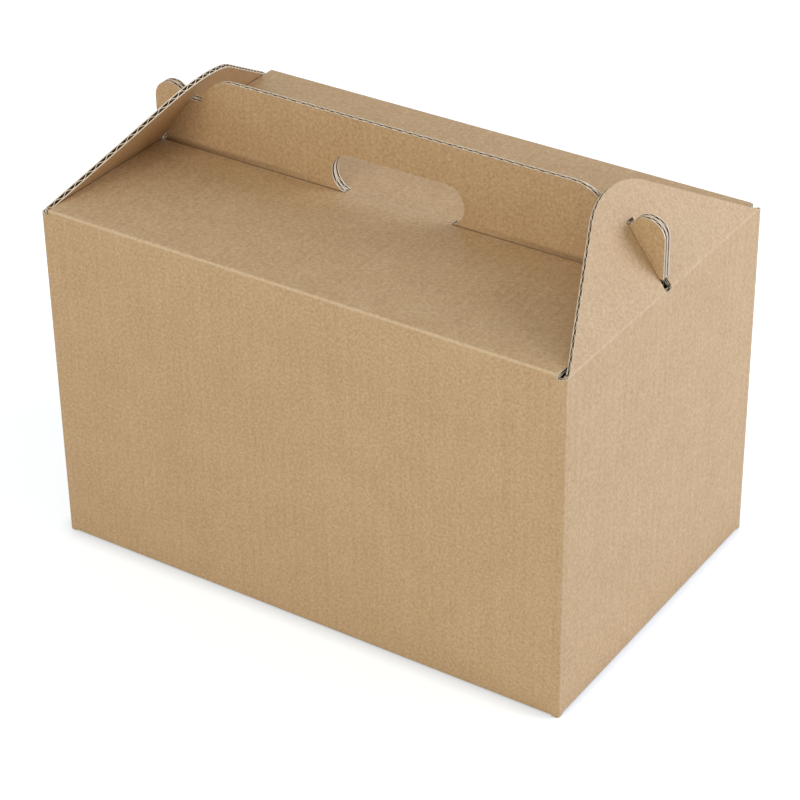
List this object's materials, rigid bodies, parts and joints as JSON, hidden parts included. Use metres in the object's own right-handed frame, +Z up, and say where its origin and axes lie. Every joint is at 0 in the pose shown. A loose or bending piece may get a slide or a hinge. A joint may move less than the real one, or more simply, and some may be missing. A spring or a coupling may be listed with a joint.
{
  "type": "takeaway food box",
  "caption": "Corrugated kraft carry carton for takeaway food, with a folded board handle and pointed end flaps that lock over its ears.",
  "frame": {"origin": "centre of the carton's footprint, on the underside of its base", "axes": "+X along the length towards the right end flap, -Y towards the front wall, +Z up through the handle"},
  "size_m": [0.33, 0.21, 0.2597],
  "materials": {
    "kraft_board": "matt brown kraft liner on corrugated board"
  },
  "bodies": {
    "carton": {"carton": "kraft_board"},
    "end_flap_left": {"end_flap_left": "kraft_board"},
    "end_flap_right": {"end_flap_right": "kraft_board"}
  },
  "joints": [
    {"name": "end_flap_left_crease", "type": "hinge", "parent": "carton", "child": "end_flap_left", "pos_m": [-0.165, 0, 0.2104], "axis": [0, -1, 0], "range_deg": [0, 210]},
    {"name": "end_flap_right_crease", "type": "hinge", "parent": "carton", "child": "end_flap_right", "pos_m": [0.165, 0, 0.2104], "axis": [0, 1, 0], "range_deg": [0, 210]}
  ]
}
